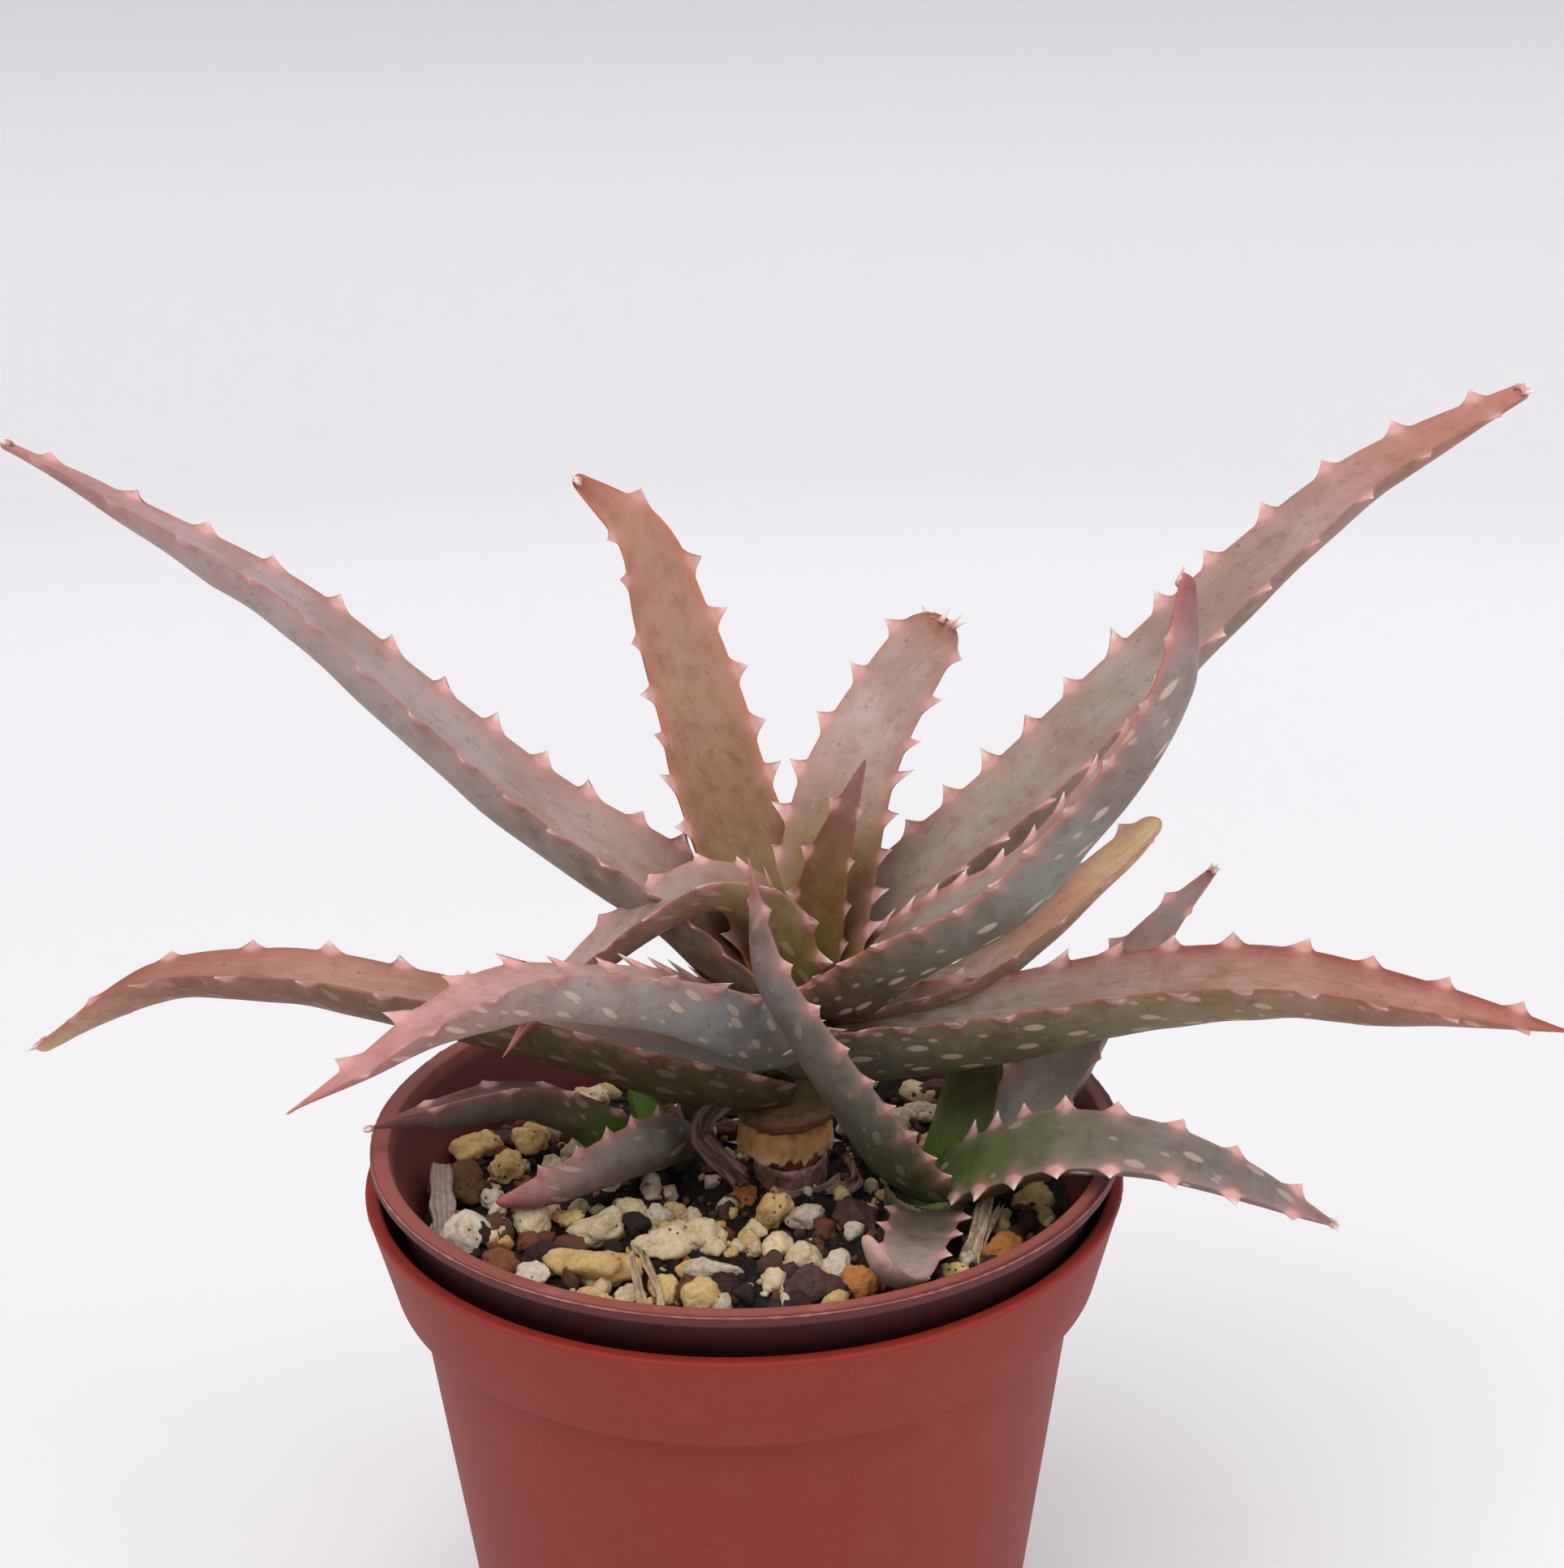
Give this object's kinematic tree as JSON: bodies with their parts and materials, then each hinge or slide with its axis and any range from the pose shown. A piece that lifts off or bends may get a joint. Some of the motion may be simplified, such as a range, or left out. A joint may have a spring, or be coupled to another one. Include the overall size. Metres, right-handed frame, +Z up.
{
  "type": "potted aloe hybrid",
  "caption": "Spiny-leaved hybrid aloe rosette with two young offsets, rooted in gritty potting mix in a round plastic nursery pot that stands in a second one.",
  "frame": {"origin": "centre of the outer pot's underside, on the surface it stands on", "axes": "+Z up; -Y is the front, where the picture was taken from; the plant's longest leaves run along X"},
  "size_m": [0.183, 0.09, 0.1641],
  "materials": {
    "outer_pot": "matte terracotta-coloured plastic",
    "inner_pot": "matte maroon plastic, dusty on the lip",
    "potting_mix": "dark mix with pumice, lava and grit",
    "stem": "smooth stem with papery leaf bases",
    "grey_leaf": "satin grey-mauve skin with pale bloom",
    "blue_grey_leaf": "satin blue-grey skin with raised pale spots",
    "brown_leaf": "satin rust-brown skin with coral margins",
    "green_leaf": "satin green skin of the young leaves",
    "dusky_leaf": "satin dusky mauve skin",
    "straw_leaf": "dry orange to straw-yellow skin",
    "withered_leaf": "dull dark shrivelled leaf"
  },
  "bodies": {
    "root": {"outer_pot": "outer_pot", "inner_pot": "inner_pot", "potting_mix": "potting_mix", "main_stem": "stem", "right_offset_stem": "stem", "left_offset_stem": "stem", "leaf_upper_left": "grey_leaf", "leaf_upper_right": "grey_leaf", "leaf_back_right": "grey_leaf", "leaf_arching": "grey_leaf", "leaf_right_curved": "blue_grey_leaf", "leaf_front": "blue_grey_leaf", "leaf_back_left": "brown_leaf", "leaf_lower_right": "brown_leaf", "leaf_lower_left": "brown_leaf", "leaf_heart": "green_leaf", "leaf_dying": "straw_leaf", "withered_leaf": "withered_leaf", "right_offset_heart": "green_leaf", "right_offset_front": "blue_grey_leaf", "right_offset_back": "blue_grey_leaf", "right_offset_right": "dusky_leaf", "right_offset_low": "grey_leaf", "left_offset_heart": "green_leaf", "left_offset_back": "grey_leaf", "left_offset_left": "dusky_leaf", "left_offset_front": "dusky_leaf"}
  },
  "joints": []
}
